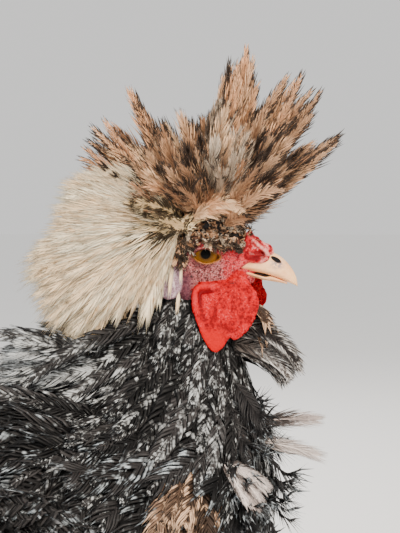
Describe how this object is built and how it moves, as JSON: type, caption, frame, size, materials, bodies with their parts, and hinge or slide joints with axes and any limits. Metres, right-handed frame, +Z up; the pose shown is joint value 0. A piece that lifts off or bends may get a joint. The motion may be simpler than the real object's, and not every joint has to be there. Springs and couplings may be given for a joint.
{
  "type": "standing polish crested cock",
  "caption": "Life-size standing crested rooster with a large feather crest, small horn comb, round wattles and folded wings.",
  "frame": {"origin": "centre of the model's box, on the floor that the bird stands on", "axes": "+X forward, the way the bird faces; +Y to the bird's left; +Z up"},
  "size_m": [0.5112, 0.1942, 0.4824],
  "materials": {
    "body_feathers": "soft small feathers, black and white mottled",
    "hackle_feathers": "narrow neck feathers, black with white streaks",
    "crest_feathers": "loose crest feathers, cream with dark edges",
    "plume_feathers": "loose white crest feathers",
    "wing_feathers": "firm wing feathers, black and white mottled",
    "tail_feathers": "firm tail feathers, black and white mottled",
    "face_skin": "bare red face skin with fine bristle feathers",
    "comb_skin": "granular red comb and wattle skin",
    "earlobe_skin": "smooth pale earlobe skin",
    "bill_horn": "pale horn",
    "eye": "wet orange-brown eye",
    "leg_scales": "slate-blue scales",
    "claw_horn": "horn"
  },
  "bodies": {
    "root": {"bill_lower": "bill_horn", "bill_upper": "bill_horn", "claw_hind_left": "claw_horn", "claw_hind_right": "claw_horn", "claw_inner_left": "claw_horn", "claw_inner_right": "claw_horn", "claw_middle_left": "claw_horn", "claw_middle_right": "claw_horn", "claw_outer_left": "claw_horn", "claw_outer_right": "claw_horn", "comb_left": "comb_skin", "comb_right": "comb_skin", "crest": "crest_feathers", "earlobe_left": "earlobe_skin", "earlobe_right": "earlobe_skin", "eye_left": "eye", "eye_right": "eye", "foot_left": "leg_scales", "foot_right": "leg_scales", "head": "face_skin", "neck": "hackle_feathers", "plume": "plume_feathers", "shank_left": "leg_scales", "shank_right": "leg_scales", "spur_left": "claw_horn", "spur_right": "claw_horn", "tail": "tail_feathers", "thigh_left": "body_feathers", "thigh_right": "body_feathers", "toe_hind_left": "leg_scales", "toe_hind_right": "leg_scales", "toe_inner_left": "leg_scales", "toe_inner_right": "leg_scales", "toe_middle_left": "leg_scales", "toe_middle_right": "leg_scales", "toe_outer_left": "leg_scales", "toe_outer_right": "leg_scales", "torso": "body_feathers", "wattle_left": "comb_skin", "wattle_right": "comb_skin", "wing_left": "wing_feathers", "wing_right": "wing_feathers"}
  },
  "joints": []
}
